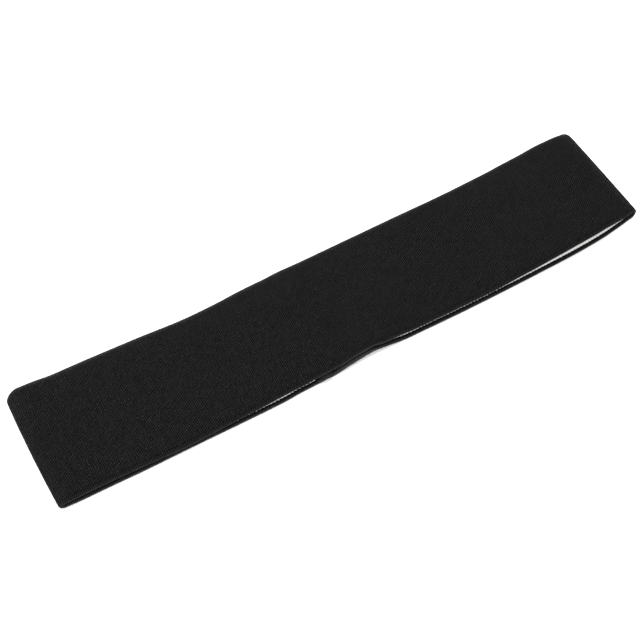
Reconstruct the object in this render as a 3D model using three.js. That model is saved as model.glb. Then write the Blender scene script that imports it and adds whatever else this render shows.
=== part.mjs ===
// Sweatband: a knitted head loop lying flat, in millimetres.
// +X runs along the band, +Y to its far edge, +Z up, with the origin under its middle.
import * as THREE from 'three';

// The band
const FLAT_LENGTH = 256; // fold to fold, lying flat
const BAND_WIDTH = 50; // nominal, edge to edge

// Fabric
const SHELL_PLY = 0.85; // thickness of the outer knit
const LINING_PLY = 0.75; // thickness of the inner knit
const PLY_GAP = 0.3; // clearance between pieces that lie on each other
const RETURN_FLAT = 0.35; // flat part of the outer knit's return past its rounded edge

// How the two layers lie on each other
const LAYER_GAP = 0.4; // least clearance between the inner faces
const OPEN_HEIGHT = 5; // how much further the layers stand apart where the band is most open
const EDGE_LIFT = 2.2; // how far the base layer's near edge curls off the surface
const CURL_WIDTH = 10; // how much of the base layer's width curls

// Corners, where each long edge draws in round the folds
const FAR_PULL = 2.4; // at the far corners
const NEAR_PULL = 0.7; // at the near corners
const PULL_REACH = 7; // distance round the fold, from its tip, where the edge starts to draw in

// Back seam, inside the base layer
const SEAM_WIDTH = 5;
const SEAM_PLY = 1.2; // its thickness
const SEAM_BEVEL = 0.4; // along its long corners
const SEAM_PROUD = 0.5; // how far its ends stand past the long edges
const SEAM_SPREAD = 22; // how far along the band its thickness holds the layers apart
const SEAM_AT = -0.086; // its middle, as a share of FLAT_LENGTH

// Fineness of the mesh
const FLAT_STEPS = 38;
const CORNER_STEPS = 5;
const CORNER_ZONE = 8; // length at each end of a layer that has the shorter steps
const FOLD_STEPS = 8;
const RIM_STEPS = 5;
const SEAM_STEPS = 12;
const ACROSS_SHARES = [0.05, 0.11, 0.18, 0.32, 0.5, 0.7, 0.9];
const SLOPE_STEP = 0.01; // share of the width over which a slope is taken

// Worked out from the sizes above
const RIM_RADIUS = SHELL_PLY;
const RIM_DEPTH = 2 * SHELL_PLY;
const RETURN_DEPTH = RIM_RADIUS + RETURN_FLAT;
const LINING_DEPTH = SHELL_PLY + PLY_GAP;
const LINING_MARGIN = RETURN_DEPTH + PLY_GAP;
const WALL = Math.max(RIM_DEPTH, LINING_DEPTH + LINING_PLY);
const CLOSED_STACK = 2 * WALL + LAYER_GAP;
const SEAM_STACK = SEAM_PLY + PLY_GAP;
const SEAM_X = SEAM_AT * FLAT_LENGTH;

// Long edges seen from above. at is a share of FLAT_LENGTH, the rest are shares of BAND_WIDTH:
// the near edge of the top layer, the near edge of the base layer, the far edge of both.
const LONG_EDGES = [
  { at: -0.49, topNear: -0.5005, baseNear: -0.502, far: 0.495 },
  { at: -0.46, topNear: -0.5035, baseNear: -0.511, far: 0.487 },
  { at: -0.43, topNear: -0.5075, baseNear: -0.516, far: 0.47 },
  { at: -0.37, topNear: -0.522, baseNear: -0.528, far: 0.461 },
  { at: -0.3, topNear: -0.538, baseNear: -0.5355, far: 0.449 },
  { at: -0.22, topNear: -0.534, baseNear: -0.547, far: 0.429 },
  { at: -0.16, topNear: -0.539, baseNear: -0.5525, far: 0.432 },
  { at: -0.125, topNear: -0.544, baseNear: -0.5465, far: 0.43 },
  { at: -0.09, topNear: -0.542, baseNear: -0.5475, far: 0.424 },
  { at: -0.062, topNear: -0.54, baseNear: -0.548, far: 0.431 },
  { at: -0.03, topNear: -0.5235, baseNear: -0.543, far: 0.433 },
  { at: -0.005, topNear: -0.5175, baseNear: -0.5395, far: 0.433 },
  { at: 0.012, topNear: -0.533, baseNear: -0.542, far: 0.433 },
  { at: 0.035, topNear: -0.541, baseNear: -0.547, far: 0.432 },
  { at: 0.08, topNear: -0.55, baseNear: -0.5545, far: 0.431 },
  { at: 0.14, topNear: -0.557, baseNear: -0.5645, far: 0.431 },
  { at: 0.21, topNear: -0.565, baseNear: -0.5705, far: 0.428 },
  { at: 0.28, topNear: -0.571, baseNear: -0.572, far: 0.423 },
  { at: 0.34, topNear: -0.574, baseNear: -0.571, far: 0.416 },
  { at: 0.385, topNear: -0.566, baseNear: -0.566, far: 0.419 },
  { at: 0.43, topNear: -0.549, baseNear: -0.552, far: 0.432 },
  { at: 0.465, topNear: -0.529, baseNear: -0.535, far: 0.433 },
  { at: 0.49, topNear: -0.512, baseNear: -0.523, far: 0.432 },
];

// How far the layers stand apart, in shares of OPEN_HEIGHT at the near edge, the middle and
// the far edge. The rows at -0.235 and -0.2 are the soft dent across the top layer.
const LAYER_RISE = [
  { at: -0.484, near: 0.04, middle: 0.16, far: 0.24 },
  { at: -0.41, near: 0.04, middle: 0.16, far: 0.24 },
  { at: -0.35, near: 0.02, middle: 0.12, far: 0.18 },
  { at: -0.29, near: 0.01, middle: 0.07, far: 0.1 },
  { at: -0.235, near: 0.01, middle: 0.03, far: 0.04 },
  { at: -0.2, near: 0.02, middle: 0.04, far: 0.01 },
  { at: -0.165, near: 0.14, middle: 0.1, far: 0.04 },
  { at: -0.14, near: 0.18, middle: 0.13, far: 0.1 },
  { at: -0.11, near: 0.09, middle: 0.08, far: 0.08 },
  { at: -0.085, near: 0.01, middle: 0.06, far: 0.1 },
  { at: -0.04, near: 0.01, middle: 0.12, far: 0.16 },
  { at: -0.01, near: 0.02, middle: 0.22, far: 0.26 },
  { at: 0.02, near: 0.18, middle: 0.26, far: 0.28 },
  { at: 0.045, near: 0.3, middle: 0.27, far: 0.3 },
  { at: 0.09, near: 0.28, middle: 0.28, far: 0.31 },
  { at: 0.13, near: 0.2, middle: 0.29, far: 0.32 },
  { at: 0.2, near: 0.2, middle: 0.34, far: 0.33 },
  { at: 0.245, near: 0.4, middle: 0.46, far: 0.38 },
  { at: 0.28, near: 0.52, middle: 0.66, far: 0.5 },
  { at: 0.32, near: 0.74, middle: 0.86, far: 0.68 },
  { at: 0.355, near: 0.86, middle: 0.97, far: 0.88 },
  { at: 0.42, near: 0.76, middle: 0.98, far: 0.98 },
  { at: 0.445, near: 0.58, middle: 0.9, far: 0.97 },
  { at: 0.465, near: 0.4, middle: 0.76, far: 0.93 },
  { at: 0.484, near: 0.2, middle: 0.6, far: 0.82 },
];

// Where the base layer's near edge curls up beside the seam, in shares of EDGE_LIFT.
const EDGE_CURL = [
  { at: -0.075, lift: 0 },
  { at: -0.047, lift: 0.6 },
  { at: -0.008, lift: 1 },
  { at: 0.023, lift: 0.5 },
  { at: 0.055, lift: 0 },
];

// The two fold lines seen from above, in shares of FLAT_LENGTH.
const FOLD_LINES = {
  left: { near: -0.4955, middle: -0.5005, far: -0.5022 },
  right: { near: 0.4978, middle: 0.498, far: 0.499 },
};

// Slope of a column at a row, level where the column turns back and at both ends.
function columnSlope(table, column, row) {
  if (row === 0 || row === table.length - 1) return 0;
  const before = table[row - 1];
  const here = table[row];
  const after = table[row + 1];
  const slopeIn = (here[column] - before[column]) / (here.at - before.at);
  const slopeOut = (after[column] - here[column]) / (after.at - here.at);
  if (slopeIn * slopeOut <= 0) return 0;
  return (2 * slopeIn * slopeOut) / (slopeIn + slopeOut);
}

// Smooth value of a column between its rows, level past the first and last.
function readColumn(table, column, at) {
  const last = table.length - 1;
  if (at <= table[0].at) return table[0][column];
  if (at >= table[last].at) return table[last][column];
  const row = table.findIndex((entry) => entry.at > at) - 1;
  const here = table[row];
  const after = table[row + 1];
  const span = after.at - here.at;
  const t = (at - here.at) / span;
  const rise = after[column] - here[column];
  const slopeHere = columnSlope(table, column, row) * span;
  const slopeAfter = columnSlope(table, column, row + 1) * span;
  const bend = slopeHere + slopeAfter - 2 * rise;
  const turn = 3 * rise - 2 * slopeHere - slopeAfter;
  return here[column] + t * (slopeHere + t * (turn + t * bend));
}

// Value across the width through its near, middle and far ones.
function acrossValue(values, across) {
  const near = values.near * (1 - across) * (1 - 2 * across);
  const middle = values.middle * 4 * across * (1 - across);
  const far = values.far * across * (2 * across - 1);
  return near + middle + far;
}

function mix(from, to, share) {
  return from + (to - from) * share;
}

// Bell that is 1 at its middle and 0 from its reach on.
function bell(distance, reach) {
  if (Math.abs(distance) >= reach) return 0;
  return (1 + Math.cos((Math.PI * distance) / reach)) / 2;
}

// Height from the outer face of the base layer to the outer face of the top layer.
function stackHeight(x, across) {
  const at = x / FLAT_LENGTH;
  const rise = {
    near: readColumn(LAYER_RISE, 'near', at),
    middle: readColumn(LAYER_RISE, 'middle', at),
    far: readColumn(LAYER_RISE, 'far', at),
  };
  const heldApart = SEAM_STACK * bell(x - SEAM_X, SEAM_SPREAD);
  return CLOSED_STACK + heldApart + OPEN_HEIGHT * acrossValue(rise, across);
}

// Height of the base layer's outer face over the surface that it lies on.
function baseHeight(x, across) {
  const fromEdge = Math.max(0, across) * BAND_WIDTH;
  const curl = Math.max(0, 1 - fromEdge / CURL_WIDTH);
  return EDGE_LIFT * readColumn(EDGE_CURL, 'lift', x / FLAT_LENGTH) * curl * curl;
}

// Stretches of one strand of the loop: the fold tips, the fold radii and the flat run.
function strand(across) {
  const left = FLAT_LENGTH * acrossValue(FOLD_LINES.left, across);
  const right = FLAT_LENGTH * acrossValue(FOLD_LINES.right, across);
  const leftRadius = stackHeight(left, across) / 2;
  const rightRadius = stackHeight(right, across) / 2;
  return {
    leftRadius,
    rightRadius,
    flatStart: left + leftRadius,
    flatEnd: right - rightRadius,
  };
}

// Distance along the flat run for a share of its steps, with short steps near both folds.
function flatShares() {
  const corner = CORNER_ZONE / FLAT_LENGTH;
  const shares = [];
  for (let step = 0; step < CORNER_STEPS; step += 1) {
    shares.push((corner * step) / CORNER_STEPS);
  }
  for (let step = 0; step <= FLAT_STEPS; step += 1) {
    shares.push(mix(corner, 1 - corner, step / FLAT_STEPS));
  }
  for (let step = 1; step <= CORNER_STEPS; step += 1) {
    shares.push(1 - corner + (corner * step) / CORNER_STEPS);
  }
  return shares;
}

// Stations once round the loop: top layer, right fold, base layer, left fold.
function loopStations() {
  const shares = flatShares();
  const turns = [];
  for (let step = 1; step < FOLD_STEPS; step += 1) {
    turns.push((Math.PI * step) / FOLD_STEPS);
  }
  return [
    ...shares.map((share) => ({ stretch: 'top', share })),
    ...turns.map((turn) => ({ stretch: 'rightFold', turn })),
    ...shares.map((share) => ({ stretch: 'base', share: 1 - share })),
    ...turns.map((turn) => ({ stretch: 'leftFold', turn })),
  ];
}

// Place in the X-Z plane on one strand, with the share of the top layer that its edges
// follow and the distance along the loop from the nearest fold tip.
function strandPlace(station, across) {
  const run = strand(across);
  const { leftRadius, rightRadius, flatStart, flatEnd } = run;
  if (station.stretch === 'rightFold') {
    return {
      x: flatEnd + rightRadius * Math.sin(station.turn),
      z: rightRadius + rightRadius * Math.cos(station.turn),
      topShare: (1 + Math.cos(station.turn)) / 2,
      fromTip: rightRadius * Math.abs(station.turn - Math.PI / 2),
    };
  }
  if (station.stretch === 'leftFold') {
    return {
      x: flatStart - leftRadius * Math.sin(station.turn),
      z: leftRadius - leftRadius * Math.cos(station.turn),
      topShare: (1 - Math.cos(station.turn)) / 2,
      fromTip: leftRadius * Math.abs(station.turn - Math.PI / 2),
    };
  }
  const x = mix(flatStart, flatEnd, station.share);
  const onTop = station.stretch === 'top';
  const fromLeft = x - flatStart + (leftRadius * Math.PI) / 2;
  const fromRight = flatEnd - x + (rightRadius * Math.PI) / 2;
  return {
    x,
    z: baseHeight(x, across) + (onTop ? stackHeight(x, across) : 0),
    topShare: onTop ? 1 : 0,
    fromTip: Math.min(fromLeft, fromRight),
  };
}

// Point on the outer face at a share of the width, 0 at the near edge and 1 at the far one.
function outerPoint(station, across) {
  const place = strandPlace(station, across);
  const at = place.x / FLAT_LENGTH;
  const topNear = readColumn(LONG_EDGES, 'topNear', at);
  const baseNear = readColumn(LONG_EDGES, 'baseNear', at);
  const pull = bell(place.fromTip, PULL_REACH);
  const near = BAND_WIDTH * mix(baseNear, topNear, place.topShare) + NEAR_PULL * pull;
  const far = BAND_WIDTH * readColumn(LONG_EDGES, 'far', at) - FAR_PULL * pull;
  return new THREE.Vector3(place.x, mix(near, far, across), place.z);
}

// Direction from the outer face into the fabric.
function inwardAt(stations, index, across) {
  const count = stations.length;
  const before = outerPoint(stations[(index + count - 1) % count], across);
  const after = outerPoint(stations[(index + 1) % count], across);
  const nearer = outerPoint(stations[index], across - SLOPE_STEP);
  const further = outerPoint(stations[index], across + SLOPE_STEP);
  const along = after.sub(before);
  return further.sub(nearer).cross(along).normalize();
}

function bodyFrom(points, indices) {
  const vertices = points.flatMap((point) => [point.x, point.y, point.z]);
  const geometry = new THREE.BufferGeometry();
  geometry.setAttribute('position', new THREE.Float32BufferAttribute(vertices, 3));
  geometry.setIndex(indices);
  geometry.computeVertexNormals();
  return geometry;
}

// Closed body with two triangles between each pair of neighbours in rings that meet up.
function ringBody(rings) {
  const size = rings[0].length;
  const indices = [];
  for (let ring = 0; ring < rings.length; ring += 1) {
    const nextRing = (ring + 1) % rings.length;
    for (let spot = 0; spot < size; spot += 1) {
      const nextSpot = (spot + 1) % size;
      const a = ring * size + spot;
      const b = nextRing * size + spot;
      const c = nextRing * size + nextSpot;
      const d = ring * size + nextSpot;
      indices.push(a, b, c, a, c, d);
    }
  }
  return bodyFrom(rings.flat(), indices);
}

// Fabric swept round the loop. Each spot of the section has its share of the width and
// its depth under the outer face.
function sweepRoundLoop(section) {
  const stations = loopStations();
  const rings = stations.map((station, index) =>
    section.map(({ across, depth }) => {
      const inward = inwardAt(stations, index, across);
      return outerPoint(station, across).addScaledVector(inward, depth);
    }),
  );
  return ringBody(rings);
}

// Spots from near to far on one face of a ply, at one depth and this far in from the edges.
function faceSpots(margin, depth) {
  const shares = [margin, ...ACROSS_SHARES, 1 - margin];
  return shares.map((across) => ({ across, depth }));
}

// Outer knit: one ply, turned over at both long edges into a rounded double rim.
function shellSection() {
  const rim = RIM_RADIUS / BAND_WIDTH;
  const returned = RETURN_DEPTH / BAND_WIDTH;
  const farRim = [];
  for (let step = 1; step <= RIM_STEPS; step += 1) {
    const angle = (Math.PI * step) / RIM_STEPS;
    farRim.push({
      across: 1 - rim + rim * Math.sin(angle),
      depth: RIM_RADIUS * (1 - Math.cos(angle)),
    });
  }
  const nearRim = [];
  for (let step = 0; step < RIM_STEPS; step += 1) {
    const angle = (Math.PI * step) / RIM_STEPS;
    nearRim.push({
      across: rim - rim * Math.sin(angle),
      depth: RIM_RADIUS * (1 + Math.cos(angle)),
    });
  }
  return [
    ...faceSpots(rim, 0),
    ...farRim,
    { across: 1 - returned, depth: RIM_DEPTH },
    ...faceSpots(returned, SHELL_PLY).reverse(),
    { across: returned, depth: RIM_DEPTH },
    ...nearRim,
  ];
}

// Inner knit: a flat ply laid between the two rims.
function liningSection() {
  const margin = LINING_MARGIN / BAND_WIDTH;
  const under = faceSpots(margin, LINING_DEPTH);
  const over = faceSpots(margin, LINING_DEPTH + LINING_PLY).reverse();
  return [...under, ...over];
}

// Back seam: the overlocked allowance, a flat bar across the base layer's inner face.
function seamBody() {
  const half = SEAM_WIDTH / 2;
  const outline = [
    { along: -half, up: SEAM_BEVEL },
    { along: -half, up: SEAM_PLY - SEAM_BEVEL },
    { along: SEAM_BEVEL - half, up: SEAM_PLY },
    { along: half - SEAM_BEVEL, up: SEAM_PLY },
    { along: half, up: SEAM_PLY - SEAM_BEVEL },
    { along: half, up: SEAM_BEVEL },
    { along: half - SEAM_BEVEL, up: 0 },
    { along: SEAM_BEVEL - half, up: 0 },
  ];
  const near = BAND_WIDTH * readColumn(LONG_EDGES, 'baseNear', SEAM_AT) - SEAM_PROUD;
  const far = BAND_WIDTH * readColumn(LONG_EDGES, 'far', SEAM_AT) + SEAM_PROUD;
  const points = [];
  for (let step = 0; step <= SEAM_STEPS; step += 1) {
    const across = step / SEAM_STEPS;
    for (const { along, up } of outline) {
      const x = SEAM_X + along;
      const z = baseHeight(x, across) + WALL + PLY_GAP + up;
      points.push(new THREE.Vector3(x, mix(near, far, across), z));
    }
  }
  const size = outline.length;
  const indices = [];
  for (let step = 0; step < SEAM_STEPS; step += 1) {
    for (let spot = 0; spot < size; spot += 1) {
      const nextSpot = (spot + 1) % size;
      const a = step * size + spot;
      const b = step * size + nextSpot;
      indices.push(a, b + size, a + size, a, b, b + size);
    }
  }
  const lastRing = SEAM_STEPS * size;
  for (let spot = 1; spot < size - 1; spot += 1) {
    indices.push(0, spot + 1, spot);
    indices.push(lastRing, lastRing + spot, lastRing + spot + 1);
  }
  return bodyFrom(points, indices);
}

const blackKnit = new THREE.MeshStandardMaterial({ color: 0x1d1d1e, roughness: 0.95, metalness: 0 });
const whiteKnit = new THREE.MeshStandardMaterial({ color: 0xd6d6d2, roughness: 0.95, metalness: 0 });
const blackThread = new THREE.MeshStandardMaterial({ color: 0x161617, roughness: 0.85, metalness: 0 });

function namedMesh(name, geometry, material) {
  const mesh = new THREE.Mesh(geometry, material);
  mesh.name = name;
  return mesh;
}

const sweatband = new THREE.Group();
sweatband.add(namedMesh('outer_shell', sweepRoundLoop(shellSection()), blackKnit));
sweatband.add(namedMesh('lining', sweepRoundLoop(liningSection()), whiteKnit));
sweatband.add(namedMesh('back_seam', seamBody(), blackThread));

// Stands the band on the surface with its middle over the origin.
const bounds = new THREE.Box3().setFromObject(sweatband);
const middle = bounds.getCenter(new THREE.Vector3());
sweatband.position.set(-middle.x, -middle.y, -bounds.min.z);

export default sweatband;
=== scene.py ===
"""Knitted head sweatband, lying flat as a closed two-ply loop, with its camera and stage."""

import math
from collections import namedtuple

import bmesh
import bpy
import numpy as np
from bpy.props import FloatProperty, FloatVectorProperty, IntProperty, PointerProperty
from mathutils import Matrix, Vector


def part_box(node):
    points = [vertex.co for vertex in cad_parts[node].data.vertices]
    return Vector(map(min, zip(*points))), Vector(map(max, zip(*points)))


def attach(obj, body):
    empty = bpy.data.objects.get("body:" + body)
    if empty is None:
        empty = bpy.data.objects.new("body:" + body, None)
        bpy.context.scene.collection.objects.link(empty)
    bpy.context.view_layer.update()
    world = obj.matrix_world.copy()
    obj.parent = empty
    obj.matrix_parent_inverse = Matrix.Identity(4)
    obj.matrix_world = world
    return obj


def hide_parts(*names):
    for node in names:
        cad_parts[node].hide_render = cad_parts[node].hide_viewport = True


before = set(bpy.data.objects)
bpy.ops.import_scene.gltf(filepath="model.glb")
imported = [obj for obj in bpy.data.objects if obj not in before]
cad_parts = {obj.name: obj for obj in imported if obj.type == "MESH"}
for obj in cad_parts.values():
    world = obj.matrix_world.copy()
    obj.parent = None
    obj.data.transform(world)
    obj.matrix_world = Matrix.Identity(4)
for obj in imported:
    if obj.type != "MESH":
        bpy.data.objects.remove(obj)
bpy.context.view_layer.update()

bl_info = {
    "name": "Sweatband",
    "version": (1, 0, 0),
    "blender": (4, 5, 0),
    "location": "3D View > Sidebar > Sweatband",
    "description": "Dresses a knitted sweatband: outer knit, lining, back seam and edge stitches",
    "category": "Add Mesh",
}

ROOT = "root"
KNIT_MAP = "Knit"
# Mesh attribute with rim rib, stitch pit, and painted highlight and shade.
RELIEF_AND_LIGHT = "ReliefAndLight"
MERGE_DISTANCE = 1e-7
SHARP_ANGLE = math.radians(60)
GRID_HALF = 0.5  # how far a flat grid reaches from its middle before it is bent
MID_WIDTH = 0.5  # share of the band's width
HALF_TURN = 0.5  # share of the way round the loop

# Long edges seen from above. The first number is a share of the flat length, the rest are
# shares of the band's width: near edge of the top layer, near edge of the base layer, far edge.
LONG_EDGES = (
    (-0.49, -0.503, -0.5045, 0.495),
    (-0.46, -0.5035, -0.511, 0.487),
    (-0.43, -0.5075, -0.516, 0.47),
    (-0.37, -0.522, -0.528, 0.461),
    (-0.3, -0.538, -0.5355, 0.449),
    (-0.22, -0.534, -0.547, 0.429),
    (-0.16, -0.5375, -0.5525, 0.432),
    (-0.125, -0.544, -0.5465, 0.43),
    (-0.09, -0.5385, -0.5475, 0.424),
    (-0.062, -0.5365, -0.548, 0.431),
    (-0.03, -0.5235, -0.543, 0.433),
    (-0.005, -0.5175, -0.5395, 0.433),
    (0.012, -0.533, -0.542, 0.433),
    (0.035, -0.5385, -0.547, 0.432),
    (0.08, -0.55, -0.5545, 0.431),
    (0.14, -0.556, -0.5645, 0.431),
    (0.21, -0.564, -0.5705, 0.428),
    (0.28, -0.571, -0.572, 0.423),
    (0.34, -0.574, -0.571, 0.416),
    (0.385, -0.566, -0.566, 0.419),
    (0.43, -0.549, -0.552, 0.432),
    (0.465, -0.529, -0.5295, 0.433),
    (0.49, -0.51, -0.5145, 0.432),
)

# How far the layers stand apart along the band, in shares of the open height at the near
# edge, the middle and the far edge.
LAYER_RISE = (
    (-0.484, 0.04, 0.16, 0.24),
    (-0.41, 0.04, 0.16, 0.24),
    (-0.35, 0.02, 0.12, 0.18),
    (-0.29, 0.01, 0.07, 0.1),
    (-0.235, 0.01, 0.03, 0.04),
    (-0.2, 0.02, 0.04, 0.01),
    (-0.165, 0.14, 0.1, 0.04),
    (-0.14, 0.18, 0.13, 0.1),
    (-0.11, 0.09, 0.08, 0.08),
    (-0.085, 0.01, 0.06, 0.1),
    (-0.04, 0.01, 0.12, 0.16),
    (-0.01, 0.02, 0.22, 0.26),
    (0.02, 0.18, 0.26, 0.28),
    (0.045, 0.3, 0.27, 0.3),
    (0.09, 0.28, 0.28, 0.31),
    (0.13, 0.2, 0.29, 0.32),
    (0.2, 0.2, 0.34, 0.33),
    (0.245, 0.4, 0.46, 0.38),
    (0.28, 0.52, 0.66, 0.5),
    (0.32, 0.74, 0.86, 0.68),
    (0.355, 0.86, 0.97, 0.88),
    (0.42, 0.76, 0.98, 0.98),
    (0.445, 0.58, 0.9, 0.97),
    (0.465, 0.4, 0.76, 0.93),
    (0.484, 0.2, 0.6, 0.82),
)

# Where the base layer's near edge curls up beside the seam, in shares of the edge lift.
EDGE_CURL = ((-0.075, 0.0), (-0.047, 0.6), (-0.008, 1.0), (0.023, 0.5), (0.055, 0.0))

# Where the base layer's near edge is rolled over further, in shares of the roll.
ROLLED_EDGE = ((-0.108, 0.0), (-0.094, 1.0), (-0.03, 1.0), (0.012, 0.0))

# The two fold lines seen from above, at the near edge, the middle and the far edge, in
# shares of the flat length.
LEFT_FOLD = (-0.4955, -0.5005, -0.5022)
RIGHT_FOLD = (0.4978, 0.498, 0.499)

SEAM_AT = -0.086  # middle of the back seam, as a share of the flat length


def metres(name, description, default):
    """A length that a user can change."""
    return FloatProperty(name=name, description=description, default=default, unit="LENGTH")


def colour(name, description, default):
    """A colour that a user can change."""
    return FloatVectorProperty(name=name, description=description, default=default, subtype="COLOR")


class SweatbandSizes(bpy.types.PropertyGroup):
    """Sizes of the band and its cloth."""

    flat_length: metres("Flat length", "Fold to fold, lying flat", 0.256)
    band_width: metres("Band width", "Nominal, edge to edge", 0.05)
    shell_ply: metres("Outer knit", "Thickness of the outer knit", 0.00085)
    lining_ply: metres("Lining", "Thickness of the inner knit", 0.00075)
    ply_gap: metres("Ply gap", "Clearance between plies", 0.0003)
    return_flat: metres("Return", "Flat part past the turned edge", 0.00035)
    layer_gap: metres("Layer gap", "Least gap between the layers", 0.0004)
    open_height: metres("Open height", "How far the open end stands up", 0.005)
    edge_lift: metres("Edge lift", "How far the base layer's edge curls", 0.0022)
    curl_width: metres("Curl width", "How much of the base layer curls", 0.01)
    far_pull: metres("Far corners", "How far the far corners draw in", 0.0024)
    near_pull: metres("Near corners", "How far the near corners draw in", 0.0002)
    pull_reach: metres("Corner reach", "Where a corner starts to draw in", 0.007)
    roll: metres("Roll", "Extra width turned over at the seam", 0.0008)


class SweatbandSeam(bpy.types.PropertyGroup):
    """Sizes of the back seam."""

    width: metres("Width", "Across the overlocked allowance", 0.005)
    ply: metres("Thickness", "Of the overlocked allowance", 0.0012)
    proud: metres("Proud", "How far its ends pass the edges", 0.0005)
    spread: metres("Spread", "How far it holds the layers apart", 0.022)
    thread: metres("Thread", "Diameter of the overlock thread", 0.00032)
    loops: IntProperty(name="Loops", description="Overlock loops across the band", default=44)
    groove: metres("Groove", "Depth of the seam line outside", 0.0004)


class SweatbandStitches(bpy.types.PropertyGroup):
    """Sizes of the knit and the edge stitching."""

    stitch_pitch: metres("Stitch", "Knit stitch along the band", 0.00076)
    course_pitch: metres("Course", "Knit course across the band", 0.00088)
    rib_depth: metres("Rib depth", "Grooves between the rim's ribs", 0.00016)
    pit_depth: metres("Pit depth", "Where the edge stitches pull in", 0.00015)
    edge_pitch: metres("Edge stitch", "Along each edge", 0.00152)
    edge_length: metres("Edge stitch length", "Across the edge", 0.0011)
    edge_overlap: metres("Edge overlap", "How far they reach over the lining", 0.0004)
    edge_thread: metres("Edge thread", "Width of the edge thread", 0.00045)


class SweatbandColours(bpy.types.PropertyGroup):
    """Colours of the yarns."""

    black_yarn: colour("Black yarn", "Outer knit", (0.0079, 0.0079, 0.0081))
    white_yarn: colour("White yarn", "Lining", (0.86, 0.86, 0.84))
    # The edge thread is black, and set darker than the black yarn so that the groove along the
    # lining's edge shows painted shade.
    thread: colour("Thread", "Edge thread", (0.003, 0.003, 0.0031))
    overlock: colour("Overlock", "Back seam's thread", (0.014, 0.014, 0.0143))
    floor: colour("Floor", "Surface it lies on", (0.93, 0.93, 0.93))


class Column:
    """One column of a table, read smoothly between its rows and level past its ends."""

    def __init__(self, table, column):
        self.at = np.array([row[0] for row in table])
        self.value = np.array([row[column] for row in table])
        slope = np.diff(self.value) / np.diff(self.at)
        before, after = slope[:-1], slope[1:]
        steady = before * after > 0
        self.slope = np.zeros(len(self.at))
        total = np.where(steady, before + after, 1)
        self.slope[1:-1] = np.where(steady, 2 * before * after / total, 0)

    def read(self, at):
        """The column's value at each share of the flat length."""
        at = np.clip(at, self.at[0], self.at[-1])
        row = np.clip(np.searchsorted(self.at, at, side="right") - 1, 0, len(self.at) - 2)
        span = self.at[row + 1] - self.at[row]
        t = (at - self.at[row]) / span
        rise = self.value[row + 1] - self.value[row]
        slope_here = self.slope[row] * span
        slope_after = self.slope[row + 1] * span
        bend = slope_here + slope_after - 2 * rise
        turn = 3 * rise - 2 * slope_here - slope_after
        return self.value[row] + t * (slope_here + t * (turn + t * bend))


def across_value(near, middle, far, across):
    """Value across the width through its near, middle and far ones."""
    return (
        near * (1 - across) * (1 - 2 * across)
        + middle * 4 * across * (1 - across)
        + far * across * (2 * across - 1)
    )


def mix(start, end, share):
    """Value between two others."""
    return start + (end - start) * share


def bell(distance, reach):
    """1 in the middle and 0 from the reach on."""
    share = np.clip(np.abs(distance) / reach, 0, 1)
    return (1 + np.cos(np.pi * share)) / 2


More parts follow.
